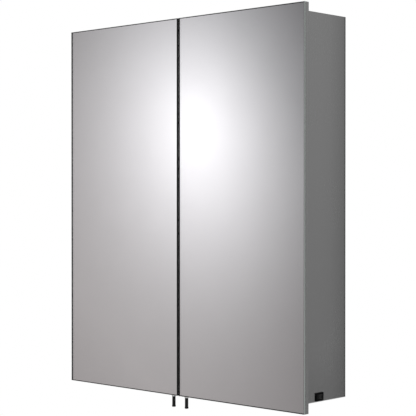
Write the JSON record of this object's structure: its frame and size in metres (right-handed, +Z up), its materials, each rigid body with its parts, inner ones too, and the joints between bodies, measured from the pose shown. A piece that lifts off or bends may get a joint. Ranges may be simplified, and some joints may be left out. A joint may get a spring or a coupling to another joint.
{
  "type": "mirror cabinet",
  "caption": "Wall-hung medicine cabinet with hinged mirror doors over a grey metal body, glass shelves inside, pull pegs under the doors, and a side rocker switch for an under light.",
  "frame": {"origin": "centre of the four wall screw holes, on the wall plane behind the cabinet, midway up the body", "axes": "+Z up, +X to the right of a person facing the mirrors, +Y into the wall; the mirrors face -Y"},
  "size_m": [0.6, 0.13, 0.7225],
  "materials": {
    "back_metal": "satin grey",
    "body_metal": "satin grey",
    "buffer_rubber": "translucent soft pad",
    "catch_plastic": "matt light grey",
    "chrome": "polished",
    "circuit_board": "white solder mask",
    "diffuser": "opal",
    "door_metal": "satin grey",
    "driver_plastic": "white moulded case",
    "gland_rubber": "black rubber",
    "hinge_steel": "satin nickel",
    "lead_pvc": "white sheath",
    "light_metal": "satin anodised",
    "magnet": "dark ferrite",
    "mirror": "silvered glass, ground edge",
    "peg_metal": "nickel plated",
    "pull_black": "gloss black",
    "screw_steel": "zinc plated",
    "shelf_glass": "clear, polished edges",
    "spacer_plastic": "black moulded",
    "strike_steel": "brushed",
    "switch_plastic": "gloss black",
    "tape": "matt foam",
    "terminal_brass": "tinned brass",
    "zinc_steel": "zinc plated"
  },
  "bodies": {
    "cabinet": {"back_panel": "back_metal", "bottom_cover": "body_metal", "bottom_cover_screws": "screw_steel", "floor_panel": "body_metal", "hanger_brackets": "zinc_steel", "led_board": "circuit_board", "led_driver": "driver_plastic", "left_catch_housing": "catch_plastic", "left_catch_magnet": "magnet", "left_hinge_body_screws": "screw_steel", "left_lower_hinge_body_leaf": "hinge_steel", "left_lower_hinge_pin": "hinge_steel", "left_side_panel": "body_metal", "left_upper_hinge_body_leaf": "hinge_steel", "left_upper_hinge_pin": "hinge_steel", "light_diffuser": "diffuser", "light_housing": "light_metal", "light_lead": "lead_pvc", "lower_shelf": "shelf_glass", "lower_shelf_pegs": "peg_metal", "middle_shelf": "shelf_glass", "middle_shelf_pegs": "peg_metal", "right_catch_housing": "catch_plastic", "right_catch_magnet": "magnet", "right_hinge_body_screws": "screw_steel", "right_lower_hinge_body_leaf": "hinge_steel", "right_lower_hinge_pin": "hinge_steel", "right_side_panel": "body_metal", "right_upper_hinge_body_leaf": "hinge_steel", "right_upper_hinge_pin": "hinge_steel", "supply_gland": "gland_rubber", "switch_housing": "switch_plastic", "switch_lead": "lead_pvc", "switch_terminals": "terminal_brass", "top_panel": "body_metal", "upper_shelf": "shelf_glass", "upper_shelf_pegs": "peg_metal", "wall_plates": "zinc_steel", "wall_spacers": "spacer_plastic"},
    "right_door": {"right_door_mirror": "mirror", "right_door_tray": "door_metal", "right_door_tape": "tape", "right_door_pull": "pull_black", "right_pull_collar": "chrome", "right_door_buffers": "buffer_rubber", "right_strike_plate": "strike_steel", "right_upper_hinge_door_leaf": "hinge_steel", "right_lower_hinge_door_leaf": "hinge_steel", "right_hinge_door_screws": "screw_steel"},
    "left_door": {"left_door_mirror": "mirror", "left_door_tray": "door_metal", "left_door_tape": "tape", "left_door_pull": "pull_black", "left_pull_collar": "chrome", "left_door_buffers": "buffer_rubber", "left_strike_plate": "strike_steel", "left_upper_hinge_door_leaf": "hinge_steel", "left_lower_hinge_door_leaf": "hinge_steel", "left_hinge_door_screws": "screw_steel"},
    "rocker": {"switch_rocker": "switch_plastic"}
  },
  "joints": [
    {"name": "right_door_hinge", "type": "hinge", "parent": "cabinet", "child": "right_door", "pos_m": [0.2928, -0.1142, 0], "axis": [0, 0, 1], "range_deg": [0, 110]},
    {"name": "left_door_hinge", "type": "hinge", "parent": "cabinet", "child": "left_door", "pos_m": [-0.2928, -0.1142, 0], "axis": [0, 0, -1], "range_deg": [0, 110]},
    {"name": "light_switch", "type": "hinge", "parent": "cabinet", "child": "rocker", "pos_m": [0.2895, -0.076, -0.3275], "axis": [0, 0, 1], "range_deg": [0, 22]}
  ]
}
